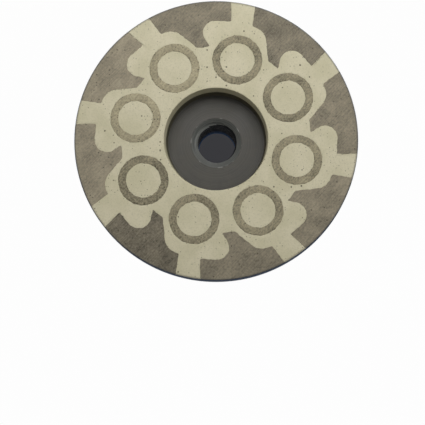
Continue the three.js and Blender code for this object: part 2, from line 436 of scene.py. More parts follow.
# %% Cut the thread
STEPS = 16  # rows in one pitch: root and crest corners fall on rows
ROOT = 1 / 16  # half the flat at the root, in pitches
turns = FLOOR_OF_RECESS / PITCH
count = int(np.ceil((turns + 2) * STEPS)) + 1
drop = np.arange(count)[:, None] / STEPS - 1
turn = (angles / (2 * np.pi))[None, :]
raw_level = FLOOR_OF_RECESS - PITCH * drop + PITCH * turn
level = np.clip(raw_level, 0, FLOOR_OF_RECESS)

phase = np.abs((drop + 0.5) % 1 - 0.5)
flank = np.clip((phase - ROOT) / (THREAD_DEPTH * np.tan(np.pi / 6) / PITCH), 0, 1)
radius = THREAD - THREAD_DEPTH * flank + 0 * turn
radius = np.maximum(radius, COUNTERSINK - (FLOOR_OF_RECESS - level))
radius = np.maximum(radius, MOUTH - level)
radius = np.where(raw_level >= FLOOR_OF_RECESS, COUNTERSINK, radius)
radius = np.where(raw_level <= 0, MOUTH, radius)
bore = np.stack([radius * np.cos(angles), radius * np.sin(angles), level], axis=-1)
print("thread rows:", count, "radius from", round(radius.min(), 3), "to", round(radius.max(), 3))

# %% Close the body
PAINTED, BARE, BORED = 0, 1, 2
outside_rows = np.arange(outside[..., 0].size).reshape(outside.shape[:2])
bore_rows = outside_rows.size + np.arange(level.size).reshape(level.shape)
outside_quads = grid_faces(outside_rows)
bore_quads = grid_faces(bore_rows, shift=STEPS)
columns = len(angles)
sink_foot = FLOOR_OF_RECESS - (COUNTERSINK - THREAD + THREAD_DEPTH)
lowest = level.reshape(-1)[(bore_quads - outside_rows.size).min(axis=1)]
zones = np.concatenate([
    np.full((len(painted) - 1) * columns, PAINTED),
    np.full((len(bare) - 1) * columns, BARE),
    np.where(lowest > sink_foot, BARE, BORED),
])
body = skin(
    "turned_body",
    np.concatenate([outside.reshape(-1, 3), bore.reshape(-1, 3)]),
    np.concatenate([outside_quads, bore_quads]).tolist(),
    zones,
)

# %% [markdown]
# ## The abrasive
#
# A rim segment is pressed and sintered in a mould, and its inner side is shaped round its two
# neighbouring rings: two hollows with a toe between them. The resin is what fills the rest, so the
# two share one boundary. It is drawn once here, in the two halves that lie on either side of a
# ring, and both pieces are made from the same points, so no gap opens between them.

# %% Draw the shared boundary
SHOULDER = RING_PITCH + RING + 4.45
TOE = RING_PITCH + 4.05
CHANNEL = (-2.0, 8.2)  # a resin channel's two walls, in degrees from its ring
LEAN = 0.65
START_HOLLOW = dict(radius=4.4, angle=53.0, beyond=3.8)
END_HOLLOW = dict(radius=5.4, angle=-21.5, beyond=-0.7)
STEP = 0.22

to_corner = RING + 2.1
toe_angle = np.degrees(np.arccos((TOE**2 + RING_PITCH**2 - to_corner**2) / (2 * TOE * RING_PITCH)))
toe_middle = TOE * np.cos(np.radians(SECTOR / 2 - toe_angle))


def round_hollow(start, hollow, end):
    """From start straight to a hollow, clockwise round it and straight to end. A line from a point
    at distance d touches a circle of radius r at acos(r / d) from the point's own direction."""
    centre = RING_PITCH + polar(RING + hollow["beyond"], hollow["angle"])
    away, towards = start - centre, end - centre
    first = np.angle(away) - np.arccos(hollow["radius"] / abs(away))
    last = np.angle(towards) + np.arccos(hollow["radius"] / abs(towards))
    last -= 2 * np.pi * np.ceil((last - first) / (2 * np.pi))
    bend = arc(centre, hollow["radius"], first, last, STEP)
    return chain(line(start, bend[0], STEP), bend, line(bend[-1], end, STEP))


def softened(curve, blend):
    """The open curve with its corners rubbed down: evenly spaced points, each moved to the
    weighted mean of its neighbours. Past its ends the curve goes on as its own image through the
    end point, so both ends stay."""
    along = np.concatenate([[0], np.cumsum(abs(np.diff(curve)))])
    even = np.linspace(0, along[-1], int(round(along[-1] / STEP)) + 1)
    points = np.interp(even, along, curve.real) + 1j * np.interp(even, along, curve.imag)
    reach = int(np.ceil(3 * blend / STEP))
    before = 2 * points[0] - points[reach:0:-1]
    after = 2 * points[-1] - points[-2:-reach - 2:-1]
    weights = np.exp(-0.5 * (np.arange(-reach, reach + 1) * STEP / blend) ** 2)
    return np.convolve(np.concatenate([before, points, after]), weights / weights.sum(), "valid")


BLEND = 0.34
RIM_EDGE = 0.4  # the rounded outer edge of the face

start_corner = polar(WHEEL, CHANNEL[1] + LEAN)
start_shoulder = polar(SHOULDER, CHANNEL[1] - LEAN)
end_corner = polar(WHEEL, CHANNEL[0] + LEAN)
end_shoulder = polar(SHOULDER, CHANNEL[0] - LEAN)
leading = chain(
    line(polar(toe_middle, SECTOR / 2), polar(TOE, toe_angle), STEP),
    round_hollow(polar(TOE, toe_angle), START_HOLLOW, start_shoulder),
    line(start_shoulder, start_corner, STEP),
)
trailing = chain(
    line(end_corner, end_shoulder, STEP),
    round_hollow(end_shoulder, END_HOLLOW, polar(TOE, -toe_angle)),
    line(polar(TOE, -toe_angle), polar(toe_middle, -SECTOR / 2), STEP),
)
leading, trailing = softened(leading, BLEND), softened(trailing, BLEND)
inside_edge = WHEEL - 2 * RIM_EDGE
leading = leading[(abs(leading) < inside_edge) | (np.arange(len(leading)) == len(leading) - 1)]
trailing = trailing[(abs(trailing) < inside_edge) | (np.arange(len(trailing)) == 0)]
print("points on the halves:", len(leading), len(trailing), "toe at", toe_middle.round(2), "mm")

# %% Make its edge ragged
RAGGED = 0.085  # mm
CALM = 2  # mm over which the edge becomes true
WAVES_ACROSS = ((2.1, 1.3, 0), (-1.2, 2.7, 1), (3.9, -0.8, 2))
WAVES_UP = ((1.7, -2.2, 3), (2.9, 1.9, 0), (-0.9, -4.1, 4))


def waves(points, terms):
    """The sum of sin(a x + b y + c), whose waves are a few millimetres long."""
    return sum(np.sin(a * points.real + b * points.imag + c) for a, b, c in terms)


def ragged(points):
    """How far the pressed edge strays at each point. It is true at the rim and at the recess,
    where the casting is turned."""
    from_rim = np.clip((WHEEL - 0.5 - abs(points)) / CALM, 0, 1)
    from_recess = np.clip((abs(points) - RECESS) / CALM, 0, 1)
    stray = waves(points, WAVES_ACROSS) + 1j * waves(points, WAVES_UP)
    return RAGGED * stray / 2 * from_rim * from_recess


def inward(points, closed):
    """Unit normals to the left of a curve, the inner side of one that runs counter-clockwise: the
    mean of the directions of its two neighbouring edges, turned by i."""
    if closed:
        ahead, behind = np.roll(points, -1) - points, points - np.roll(points, 1)
    else:
        ahead = np.diff(points, append=2 * points[-1] - points[-2])
        behind = np.diff(points, prepend=2 * points[0] - points[1])
    direction = ahead / abs(ahead) + behind / abs(behind)
    return 1j * direction / abs(direction)


def lifted(points, level):
    """Complex outline points at a level, as rows of x, y, z."""
    return np.stack([points.real, points.imag, np.broadcast_to(level, points.shape)], axis=-1)


print("strays by up to", round(float(abs(ragged(leading)).max()), 3), "mm")

# %% [markdown]
# Every cast or sintered piece is an outline raised to the grinding face, with its top edge rounded
# over: a quarter circle of radius b moves the outline in by b * (1 - cos t) while it climbs by b *
# sin t. The radius may differ from point to point. At the wheel's rim it is larger, where the
# finished face is dressed all round.

# %% Raise an outline
QUARTER = np.radians([0, 22.5, 45, 67.5, 90])
EDGE = 0.06


def edge_rows(outline, normals, radius, top):
    """The rows of a rounded top edge, from the wall up to the flat top."""
    return [
        (outline + normals * radius * (1 - np.cos(t)), top - radius * (1 - np.sin(t)))
        for t in QUARTER
    ]


def strayed(rows, stray):
    """The same rows, each moved by the ragged edge's stray."""
    return [(row + stray, height) for row, height in rows]


STRIP = 0.08


def raised(name, outline, normals, radius, top):
    """A closed piece from the seat to its top. A narrow flat strip inside the rounded edge keeps
    the shading of the large top face even."""
    rows = [(outline, SEAT_LEVEL), *edge_rows(outline, normals, radius, top)]
    rim_of_top = rows[-1][0]
    rows.append((rim_of_top + inward(rim_of_top, closed=True) * STRIP, top))
    points = np.stack([lifted(*row) for row in strayed(rows, ragged(outline))])
    numbers = np.arange(points[..., 0].size).reshape(points.shape[:2])
    faces = grid_faces(numbers).tolist() + [numbers[0][::-1].tolist(), numbers[-1].tolist()]
    return skin(name, points, faces)


def segment_outline(turn_by):
    """A rim segment, counter-clockwise: the rim, then the next ring's half of the boundary and
    this ring's."""
    start, end = np.radians(CHANNEL[1] + LEAN), np.radians(SECTOR + CHANNEL[0] + LEAN)
    rim = arc(0, WHEEL, start, end, 0.7)
    outline = np.concatenate([rim, (trailing * polar(1, SECTOR))[1:], leading[1:-1]])
    normals = inward(outline, closed=True)
    edge = np.full(len(outline), EDGE)
    edge[:len(rim)] = RIM_EDGE
    normals[:len(rim)] = -rim / WHEEL
    return outline * turn_by, normals * turn_by, edge


segments = []
for k in range(SECTORS):
    turn_by = polar(1, FIRST_RING + k * SECTOR)
    segments.append(raised(f"segment_{k + 1}", *segment_outline(turn_by), FACE_LEVEL))

# %% Raise the rings and their cores
RESIN_LEVEL = FACE_LEVEL - 0.025  # the softer resin is dressed a little lower
RING_SIDES = 96
RING_STRIP = 0.8  # mm from a ring's walls, where the torn border ends
outward = np.exp(2j * np.pi * np.arange(RING_SIDES) / RING_SIDES)


def ring_half(outline, normals):
    """The rows of one wall of a ring, from the seat over the edge to the strip on its face."""
    over = edge_rows(outline, normals, EDGE, FACE_LEVEL)
    strip = (outline + normals * RING_STRIP, FACE_LEVEL)
    return strayed([(outline, SEAT_LEVEL), *over, strip], ragged(outline))


rings, cores = [], []
for k in range(SECTORS):
    centre = polar(RING_PITCH, FIRST_RING + k * SECTOR)
    outer, inner = centre + RING * outward, centre + RING_BORE * outward
    rows = ring_half(outer, -outward) + ring_half(inner, outward)[::-1]
    rows.append(rows[0])
    points = np.stack([lifted(*row) for row in rows])
    numbers = np.arange(points[..., 0].size).reshape(points.shape[:2])
    border = np.ones(len(rows))
    border[1 + len(QUARTER):3 + len(QUARTER)] = 0
    border = np.repeat(border[:, None], RING_SIDES, axis=1)
    rings.append(skin(f"ring_{k + 1}", points, grid_faces(numbers).tolist(), border=border))
    cores.append(raised(f"core_{k + 1}", inner, -outward, EDGE, RESIN_LEVEL))

# %% [markdown]
# ## The resin
#
# The casting is eight cells, one round each ring. Seen from a ring's centre, a cell's boundary
# goes once round: out through the channel to the rim, along one segment, down the seam with the
# next cell, along the recess and back. So a cell is a grid from the ring's circle out to that
# boundary, over the edge, down the wall and back underneath. Along a seam there is no wall, and
# there the cells are welded together.

# %% Draw one cell's boundary
RECESS_EDGE = 0.3
half_sector = SECTOR / 2
rim_arc = arc(0, WHEEL, np.radians(CHANNEL[0] + LEAN), np.radians(CHANNEL[1] + LEAN), 0.5)
outer_wall = chain(trailing[::-1], rim_arc, leading[::-1])
on_rim = abs(outer_wall) > WHEEL - 0.01
outer_wall_edge = np.where(on_rim, RIM_EDGE, EDGE)
outer_wall_normal = inward(outer_wall, closed=False)
outer_wall_normal[on_rim] = -outer_wall[on_rim] / WHEEL
outer_wall_normal[0], outer_wall_normal[-1] = polar(-1, -half_sector), polar(-1, half_sector)

seam = line(toe_middle, RECESS, 1.2)[1:-1]
recess_arc = arc(0, RECESS, np.radians(half_sector), np.radians(-half_sector), 0.45)
boundary = np.concatenate([
    outer_wall, seam * polar(1, half_sector), recess_arc, seam[::-1] * polar(1, -half_sector),
])
parts = (len(outer_wall), len(seam), len(recess_arc), len(seam))
normals = np.concatenate([outer_wall_normal, 0 * seam, recess_arc / RECESS, 0 * seam])
edges = np.repeat([0, 0, RECESS_EDGE, 0], parts)
edges[:len(outer_wall)] = outer_wall_edge
walled = np.repeat([True, False, True, False], parts)
is_recess = np.repeat([False, False, True, False], parts)
has_wall = walled & np.roll(walled, -1)
from_ring = boundary - RING_PITCH
swept = np.diff(np.unwrap(np.angle(from_ring)))
print("points round a cell:", len(boundary), "least turn between them:", swept.min().round(5))

# %% Cast the resin
FILL = np.array([0.12, 0.35, 0.65, 0.88])


def cell_rows(turn_by):
    """The rows of one cell, from the foot of its ring to the foot of its outer wall."""
    outline, normal = boundary * turn_by, normals * turn_by
    towards = from_ring / abs(from_ring) * turn_by
    ring = RING_PITCH * turn_by + RING * towards
    foot = np.where(is_recess, outline * (RECESS - RECESS_DRAFT) / RECESS, outline)
    start = [(ring, SEAT_LEVEL), *edge_rows(ring, towards, EDGE, RESIN_LEVEL)]
    finish = [(foot, SEAT_LEVEL), *edge_rows(outline, normal, edges, RESIN_LEVEL)][::-1]
    start, finish = strayed(start, ragged(ring)), strayed(finish, ragged(outline))
    first, last = start[-1][0], finish[0][0]
    fill = [(first + (last - first) * t, RESIN_LEVEL) for t in FILL]
    rows = start + fill + finish
    wall_from = len(start) + len(fill)
    border = np.ones((len(rows) + 1, len(boundary)))
    border[len(start):wall_from] = 0
    border[wall_from:-1] = walled
    return np.stack([lifted(*row) for row in rows + rows[:1]]), border, wall_from


points, faces, borders, offset = [], [], [], 0
for k in range(SECTORS):
    cell, border, wall_from = cell_rows(polar(1, FIRST_RING + k * SECTOR))
    numbers = offset + np.arange(cell[..., 0].size).reshape(cell.shape[:2])
    quads = grid_faces(numbers).reshape(len(cell) - 1, len(boundary), 4)
    kept = np.ones(quads.shape[:2], bool)
    kept[wall_from:-1] = has_wall
    points.append(cell.reshape(-1, 3))
    borders.append(border.reshape(-1))
    faces += quads[kept].tolist()
    offset += cell[..., 0].size
resin = skin("cast_resin", np.concatenate(points), faces, border=np.concatenate(borders))

# %% [markdown]
# ## Finishes
#
# Five finishes cover the wheel: satin blue paint on the outside of the steel, bare turned steel in
# the recess, a thread that is painted at the hub's mouth and oiled further in, cream resin, and
# sintered bond, in one mix for the segments and one for the rings. What several of them share,
# such as grain, pits, turning marks and the paint on the rim, is a node group. Every pattern reads
# Object coordinates in millimetres, so it stays put on the metal.

# %% Name the colours


def rgb(red, green, blue):
    """A colour given in the usual 0 to 255 steps, as the linear values that shaders use."""
    share = np.array([red, green, blue]) / 255
    linear = np.where(share <= 0.04045, share / 12.92, ((share + 0.055) / 1.055) ** 2.4)
    return (*linear.tolist(), 1.0)


PAINT_DEEP, PAINT_LIGHT, PAINT_SPECK = rgb(21, 66, 114), rgb(24, 71, 121), rgb(34, 86, 138)
# Painted highlight: the thin-paint colour below also lightens the hub's corners, the rim's back
# edge and the thread crests, where a real edge would catch the light.
PAINT_THIN_AND_HIGHLIGHT = rgb(62, 122, 178)  # over corners and thread crests
# Painted shade: the paint colour below darkens the paint a few turns into the thread.
PAINT_IN_SHADE = rgb(11, 24, 44)  # a few turns into the thread
PAINT_METAL = 0.45  # the metallic share of a thin lacquer over bright steel
# The thread's near-black colours are partly painted shade, for the deep bore that light hardly
# reaches.
THREAD_DARK, THREAD_LIGHT = rgb(9, 10, 14), rgb(24, 25, 30)
STEEL_DARK, STEEL_LIGHT, STEEL_CUT = rgb(64, 62, 58), rgb(77, 75, 69), rgb(108, 106, 99)
SINK_LIGHT, SINK_CUT, BURR = rgb(119, 121, 117), rgb(82, 84, 84), rgb(164, 163, 158)
FLOOR_CORNER_SHADE, RIM_DARKENING, RESIN_FILM = rgb(44, 42, 32), rgb(96, 95, 88), rgb(104, 97, 72)
CREAM_DARK, CREAM_LIGHT, CREAM_DUST = rgb(200, 193, 160), rgb(213, 205, 175), rgb(176, 170, 138)
SEGMENT_DARK, SEGMENT_LIGHT = rgb(80, 75, 62), rgb(182, 171, 146)
RING_DARK, RING_LIGHT = rgb(64, 59, 43), rgb(187, 177, 146)
RESIN_PIT, BOND_PIT = rgb(78, 72, 52), rgb(66, 60, 46)
print("light cream as linear values:", [round(v, 3) for v in CREAM_LIGHT])

# %% Helpers for groups


def group(name, inputs, outputs):
    """A new node group with named sockets, and its input sockets and output sockets inside."""
    tree = bpy.data.node_groups.new(name, "ShaderNodeTree")
    for socket, (kind, value) in inputs.items():
        made = tree.interface.new_socket(socket, in_out="INPUT", socket_type="NodeSocket" + kind)
        made.default_value = value
    for socket, kind in outputs.items():
        tree.interface.new_socket(socket, in_out="OUTPUT", socket_type="NodeSocket" + kind)
    return tree, tree.nodes.new("NodeGroupInput").outputs, tree.nodes.new("NodeGroupOutput").inputs


def use(tree, made, **values):
    """Places a group, with its values given by socket name, and returns its outputs."""
    node = tree.nodes.new("ShaderNodeGroup")
    node.node_tree = made
    for name, value in values.items():
        socket = node.inputs[name.capitalize()]
        if isinstance(value, bpy.types.NodeSocket):
            tree.links.new(value, socket)
        else:
            socket.default_value = value
    return node.outputs


def calc(tree, operation, a, *others):
    """Arithmetic on one value, or on several from left to right."""
    for b in others or (0.0,):
        a = add(tree, "Math", {0: a, 1: b}, operation=operation).outputs[0]
    return a


def times(tree, *values):
    """Several values multiplied together."""
    return calc(tree, "MULTIPLY", *values)


def fade(tree, value, low, high, start=0.0, end=1.0):
    """Turns a value between low and high smoothly into one between start and end."""
    values = {0: value, 1: low, 2: high, 3: start, 4: end}
    return add(tree, "MapRange", values, interpolation_type="SMOOTHSTEP").outputs[0]


def blend(tree, share, a, b):
    """A mix of two colours by a share from 0 to 1."""
    return add(tree, "Mix", {0: share, 6: a, 7: b}, data_type="RGBA").outputs[2]


def blend_value(tree, share, a, b):
    """A mix of two values by a share from 0 to 1."""
    return add(tree, "Mix", {0: share, 2: a, 3: b}, data_type="FLOAT").outputs[0]


def millimetres(tree):
    """Object coordinates in millimetres."""
    place = add(tree, "TexCoord").outputs["Object"]
    return add(tree, "VectorMath", {0: place, 3: 1 / MM}, operation="SCALE").outputs[0]


def split(tree, vector):
    """The three parts of a vector."""
    return add(tree, "SeparateXYZ", {0: vector}).outputs


def noise(tree, place, scale, detail=2.0, roughness=0.5):
    """A cloud of noise, about 1 / scale millimetres across."""
    values = {"Vector": place, "Scale": scale, "Detail": detail, "Roughness": roughness}
    return add(tree, "TexNoise", values).outputs[0]


def axis_distance(tree, place):
    """The distance from the wheel's axis, and the place's y, which is 0 at the hub's end and
    -FACE_LEVEL at the face."""
    x, y, z = split(tree, place)
    flat = add(tree, "CombineXYZ", {0: x, 2: z}).outputs[0]
    return add(tree, "VectorMath", {0: flat}, operation="LENGTH").outputs["Value"], y


def drive(tree, shader, **sources):
    """Links outputs to the shader's inputs, given by socket name."""
    for name, source in sources.items():
        tree.links.new(source, shader.inputs[name.replace("_", " ").title()])


def bump(tree, strength, depth, height):
    """The normal of a surface with a relief, whose depth is in metres."""
    values = {"Strength": strength, "Distance": depth, "Height": height}
    return add(tree, "Bump", values).outputs[0]


# %% Group: turning marks
# A turning tool leaves fine rings. Noise that reads only radius plus level draws them on the cone,
# the floor and the hub's wall alike.
turning, given, result = group("turning_marks", {"Spacing": ("Float", 0.3)}, {"Height": "Float"})
radius_mm, y_mm = axis_distance(turning, millimetres(turning))
along_tool = calc(turning, "DIVIDE", calc(turning, "SUBTRACT", radius_mm, y_mm), given["Spacing"])
marks = {"W": along_tool, "Scale": 1.0, "Detail": 3.0}
marks = add(turning, "TexNoise", marks, noise_dimensions="1D").outputs[0]
turning.links.new(marks, result["Height"])

# %% Group: sintered grain
# Metal powder and diamond grit give a fine salt-and-pepper grain, with soft blotches under it.
grain, given, result = group(
    "sintered_grain",
    {"Size": ("Float", 0.75), "Blotch": ("Float", 7.0)},
    {"Value": "Float", "Soft": "Float"},
)
place = millimetres(grain)
fine = noise(grain, place, calc(grain, "DIVIDE", 1.0, given["Size"]), 3.0, 0.7)
soft = noise(grain, place, calc(grain, "DIVIDE", 1.0, given["Blotch"]), 3.0, 0.6)
grain.links.new(fade(grain, fine, 0.3, 0.7), result["Value"])
grain.links.new(fade(grain, soft, 0.25, 0.75), result["Soft"])

# %% Group: pits
# Air bubbles and torn-out grit leave small dark pits in the dressed face. Each cell of a flat
# Voronoi pattern holds one, and most are left out by the cell's own random number. Walls get none.
PIT_SLOPE = 0.09  # from a pit's edge down to its floor
pits, given, result = group(
    "pits",
    {"Spacing": ("Float", 2.0), "Radius": ("Float", 0.3), "Share": ("Float", 0.2)},
    {"Mask": "Float"},
)
place = millimetres(pits)
wobble = noise(pits, place, 2.0, 2.0)
x, y, z = split(pits, place)
on_face = fade(pits, y, 0.2 - FACE_LEVEL, 0.1 - FACE_LEVEL)
cells = {
    "Vector": add(pits, "CombineXYZ", {0: x, 1: z}).outputs[0],
    "Scale": calc(pits, "DIVIDE", 1.0, given["Spacing"]),
}
near = add(pits, "TexVoronoi", cells, voronoi_dimensions="2D")
distance = times(pits, near.outputs["Distance"], given["Spacing"])
ragged_distance = calc(pits, "ADD", distance, times(pits, wobble, 0.2))
chance, size, _ = split(pits, near.outputs["Color"])
reach = times(pits, given["Radius"], fade(pits, size, 0.0, 1.0, 0.5, 1.4))
inside = calc(pits, "SUBTRACT", calc(pits, "ADD", reach, 0.1), ragged_distance)
chosen = calc(pits, "LESS_THAN", chance, given["Share"])
hole = times(pits, fade(pits, inside, 0.0, PIT_SLOPE), on_face, chosen)
pits.links.new(hole, result["Mask"])

# %% Group: dressing scratches
# The face is ground flat in one pass, which leaves fine straight scratches in one direction.
scratches, given, result = group(
    "dressing_scratches", {"Angle": ("Float", -0.75), "Width": ("Float", 0.35)}, {"Value": "Float"}
)
turn = {0: millimetres(scratches), "Angle": given["Angle"]}
x, y, z = split(scratches, add(scratches, "VectorRotate", turn, rotation_type="Y_AXIS").outputs[0])
across = calc(scratches, "DIVIDE", x, given["Width"])
along = times(scratches, z, 0.2)
stretched = add(scratches, "CombineXYZ", {0: across, 2: along}).outputs[0]
streaks = fade(scratches, noise(scratches, stretched, 1.0, 2.0), 0.3, 0.7)
scratches.links.new(streaks, result["Value"])

# %% Group: blue paint
# The paint is a satin lacquer, sprayed on the body and the side of the rim. It shows a fine orange
# peel and a slow change of tone.
paint, _, result = group(
    "blue_paint", {}, {"Color": "Color", "Roughness": "Float", "Height": "Float"}
)
place = millimetres(paint)
tone = noise(paint, place, 0.09, 3.0)
speck = noise(paint, place, 3.0, 3.0, 0.6)
colour = blend(paint, fade(paint, tone, 0.3, 0.7), PAINT_DEEP, PAINT_LIGHT)
colour = blend(paint, fade(paint, speck, 0.55, 0.85, 0.0, 0.25), colour, PAINT_SPECK)
paint.links.new(colour, result["Color"])
paint.links.new(fade(paint, speck, 0.3, 0.7, 0.36, 0.48), result["Roughness"])
peel = calc(paint, "ADD", noise(paint, place, 1.4, 2.0), times(paint, speck, 0.3))
paint.links.new(peel, result["Height"])

# %% Group: where the rim is painted
# The spray covers the side of the rim and ends on the rounded outer edge of the face, in a
# slightly uneven line. Beside that line the face is made darker towards the rim's edge.
rim_paint, _, result = group("rim_paint", {}, {"Mask": "Float", "Darkening": "Float"})
place = millimetres(rim_paint)
radius_mm, y_mm = axis_distance(rim_paint, place)
uneven = times(rim_paint, noise(rim_paint, place, 1.1, 3.0), 0.2)
behind_face = calc(rim_paint, "ADD", y_mm, FACE_LEVEL, uneven)
on_side = fade(rim_paint, radius_mm, WHEEL - RIM_EDGE, WHEEL - 0.3)
painted_side = times(rim_paint, fade(rim_paint, behind_face, 0.18, 0.3), on_side)
rim_paint.links.new(painted_side, result["Mask"])
# Towards the rim's edge the face is made darker.
darkening = fade(rim_paint, radius_mm, WHEEL - 0.9, WHEEL - 0.25, 0.0, 0.6)
rim_paint.links.new(darkening, result["Darkening"])
print("groups:", sorted(g.name for g in bpy.data.node_groups))

# %% [markdown]
# ### Blue paint on turned steel
#
# Turning marks show softly through the paint. Over the hub's corners and the rim's rounded back
# edge the colour is lighter, partly because the paint runs thin there and hands and wrenches rub
# it, and partly as a painted highlight along those edges. The highlights on fillet and rim are
# broad and blue rather than white, because the lacquer is thin over bright steel, so the shader is
# partly metallic.

# %% Material: blue paint
painted_material, tree, shader, _ = plain_material("satin_blue_paint", (0.02, 0.05, 0.13), 0.4)
coat = use(tree, paint)
rings_under = use(tree, turning, spacing=0.35)["Height"]
relief = calc(tree, "ADD", times(tree, coat["Height"], 0.5), rings_under)
place = millimetres(tree)
radius_mm, y_mm = axis_distance(tree, place)
side_mm = calc(tree, "ABSOLUTE", split(tree, place)["X"])

at_wall = fade(tree, radius_mm, HUB - 0.4, HUB - 0.1)
at_flat = fade(tree, side_mm, FLAT - 0.35, FLAT - 0.1)
beside_ledge = fade(tree, y_mm, -FLAT_END, -FLAT_END + 0.3)
upright_corners = times(tree, at_wall, at_flat, beside_ledge)
at_end = fade(tree, y_mm, -HUB_EDGE - 0.05, -0.1)
end_corners = times(tree, calc(tree, "MAXIMUM", at_wall, at_flat), at_end)
on_hub = fade(tree, radius_mm, HUB + 0.3, HUB + 0.1)
corners = times(tree, calc(tree, "MAXIMUM", upright_corners, end_corners), on_hub)
back_edge = fade(tree, radius_mm, WHEEL - RIM_ROUNDING, WHEEL - 0.5)
back_edge = times(tree, back_edge, fade(tree, radius_mm, WHEEL - 0.04, WHEEL - 0.3))
# Painted highlight: the thin paint on the corners and the back edge is also lighter as lit edges.
thin_and_highlight = calc(tree, "MAXIMUM", corners, times(tree, back_edge, 0.6))
uneven = fade(tree, noise(tree, place, 0.6, 3.0), 0.3, 0.6, 0.35, 0.8)
thin_and_highlight = times(tree, thin_and_highlight, uneven)

drive(
    tree, shader,
    base_color=blend(tree, thin_and_highlight, coat["Color"], PAINT_THIN_AND_HIGHLIGHT),
    roughness=coat["Roughness"],
    normal=bump(tree, 0.25, 0.04 * MM, relief),
)
shader.inputs["Metallic"].default_value = PAINT_METAL
shader.inputs["Coat Weight"].default_value = 0.05
shader.inputs["Coat Roughness"].default_value = 0.25

# %% Material: bare turned steel
# The countersink is cut brighter, with coarser marks and a burr along its lip. The floor is darker
# near the wall, as painted shade at the wall's foot, and a film of resin has run down the wall.
bare_material, tree, shader, _ = plain_material("bare_turned_steel", (0.1, 0.1, 0.09), 0.5)
place = millimetres(tree)
radius_mm, y_mm = axis_distance(tree, place)
cuts = use(tree, turning, spacing=0.22)["Height"]
tone = noise(tree, place, 0.16, 4.0, 0.6)
colour = blend(tree, fade(tree, tone, 0.3, 0.7), STEEL_DARK, STEEL_LIGHT)
in_sink = fade(tree, radius_mm, COUNTERSINK + 0.05, COUNTERSINK - 0.2)
colour = blend(tree, in_sink, colour, SINK_LIGHT)
colour = blend(tree, fade(tree, cuts, 0.35, 0.75, 0.0, 0.3), colour, STEEL_CUT)
coarse = fade(tree, use(tree, turning, spacing=0.5)["Height"], 0.45, 0.7, 0.0, 0.7)
colour = blend(tree, times(tree, coarse, in_sink), colour, SINK_CUT)
from_lip = calc(tree, "ABSOLUTE", calc(tree, "SUBTRACT", radius_mm, COUNTERSINK))
some_arcs = fade(tree, noise(tree, place, 0.4, 2.0), 0.54, 0.68)
burr = times(tree, fade(tree, from_lip, 0.16, 0.04), some_arcs)
colour = blend(tree, burr, colour, BURR)
# Painted shade: the floor darkens towards the foot of the recess wall.
corner_shade = fade(tree, radius_mm, 15.4, wall_foot.real, 0.0, 0.4)
colour = blend(tree, corner_shade, colour, FLOOR_CORNER_SHADE)
film = fade(tree, radius_mm, wall_foot.real - 0.25, wall_foot.real)
film = times(tree, film, 0.5)
drive(
    tree, shader,
    base_color=blend(tree, film, colour, RESIN_FILM),
    roughness=fade(tree, tone, 0.3, 0.7, 0.42, 0.6),
    metallic=blend_value(tree, film, 0.35, 0.0),
    normal=bump(tree, 0.3, 0.03 * MM, cuts),
)

# %% Material: the thread
# The spray reaches a few turns into the hub's mouth, lighter on the crests as a painted highlight
# and darker further in as painted shade. Further in, the thread is bare and oiled, and its
# near-black colour is partly painted shade for the deep bore.
bored_material, tree, shader, _ = plain_material("oiled_thread_and_shade", (0.03, 0.03, 0.035), 0.4)
place = millimetres(tree)
radius_mm, y_mm = axis_distance(tree, place)
smear = noise(tree, place, 0.7, 3.0)
sprayed = fade(tree, calc(tree, "ADD", y_mm, times(tree, smear, 5.0)), -8.0, -3.5)
CREST = THREAD - THREAD_DEPTH
# Painted highlight on the thread crests.
at_crest = fade(tree, radius_mm, CREST + 0.3, CREST + 0.05, 0.0, 0.5)
blue = blend(tree, at_crest, use(tree, paint)["Color"], PAINT_THIN_AND_HIGHLIGHT)
# Painted shade: the paint turns darker deeper in the thread.
blue = blend(tree, fade(tree, y_mm, -3.0, -7.5), blue, PAINT_IN_SHADE)
drive(
    tree, shader,
    base_color=blend(tree, sprayed, blend(tree, smear, THREAD_DARK, THREAD_LIGHT), blue),
    metallic=blend_value(tree, sprayed, 0.4, PAINT_METAL),
    roughness=fade(tree, smear, 0.3, 0.7, 0.42, 0.6),
)

for material in (painted_material, bare_material, bored_material):
    body.data.materials.append(material)
print("body materials:", [m.name for m in body.data.materials])

# %% Finish a cast or sintered piece


def finish_face(tree, shader, colour, roughness, metallic, relief, depth, coat_relief):
    """Ends the shader of a piece of the grinding face, whose rim is darker at the edge of the face
    and painted on the side. Under the paint, the relief is the paint's own."""
    rim, coat = use(tree, rim_paint), use(tree, paint)
    on_paint = times(tree, coat["Height"], coat_relief)
    colour = blend(tree, rim["Darkening"], colour, RIM_DARKENING)
    drive(
        tree, shader,
        base_color=blend(tree, rim["Mask"], colour, coat["Color"]),
        roughness=blend_value(tree, rim["Mask"], roughness, coat["Roughness"]),
        metallic=blend_value(tree, rim["Mask"], metallic, PAINT_METAL),
        normal=bump(tree, 0.35, depth, blend_value(tree, rim["Mask"], relief, on_paint)),
    )


# %% [markdown]
# ### Cream resin
#
# The resin is a filled epoxy: matt, opaque cream, a little cloudy, with air pits cut open by the
# dressing. Most pits lie near a ring, a segment or the recess, where air was trapped.

